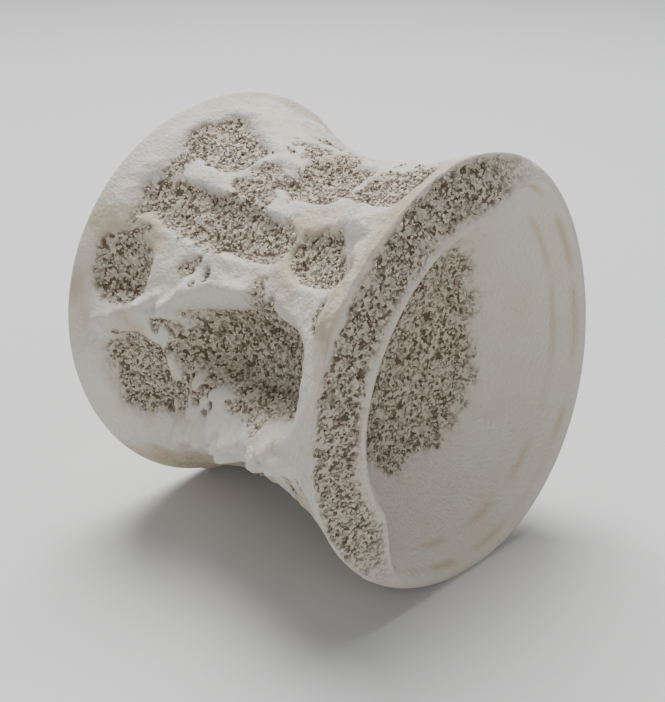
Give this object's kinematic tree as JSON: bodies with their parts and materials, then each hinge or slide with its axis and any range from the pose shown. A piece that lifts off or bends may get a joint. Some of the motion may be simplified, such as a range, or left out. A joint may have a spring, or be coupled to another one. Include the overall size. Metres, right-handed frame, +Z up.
{
  "type": "fossil fish vertebra",
  "caption": "Large fossil fish vertebra lying on its side: a pale hourglass bone with a deep cup at each end and sandy sediment in its hollows.",
  "frame": {"origin": "on the floor under the middle of the bone's bounding box", "axes": "+X along the vertebra's axis, out of the worn cup; +Z up; the side with the big pit faces -Y"},
  "size_m": [0.0392, 0.0464, 0.0468],
  "materials": {
    "bone": "matt cream fossil bone",
    "matrix": "rough granular sediment"
  },
  "bodies": {
    "root": {"centrum": "bone", "matrix_upper_far": "matrix", "matrix_upper_mid": "matrix", "matrix_upper_near": "matrix", "matrix_long_cell": "matrix", "matrix_short_cell": "matrix", "matrix_side_pit": "matrix", "matrix_lower_far": "matrix", "matrix_far_band": "matrix", "matrix_underside": "matrix", "matrix_back_upper": "matrix", "matrix_back_long": "matrix", "matrix_back_pit": "matrix", "matrix_back_lower": "matrix", "matrix_near_cup": "matrix", "matrix_far_cup": "matrix"}
  },
  "joints": []
}
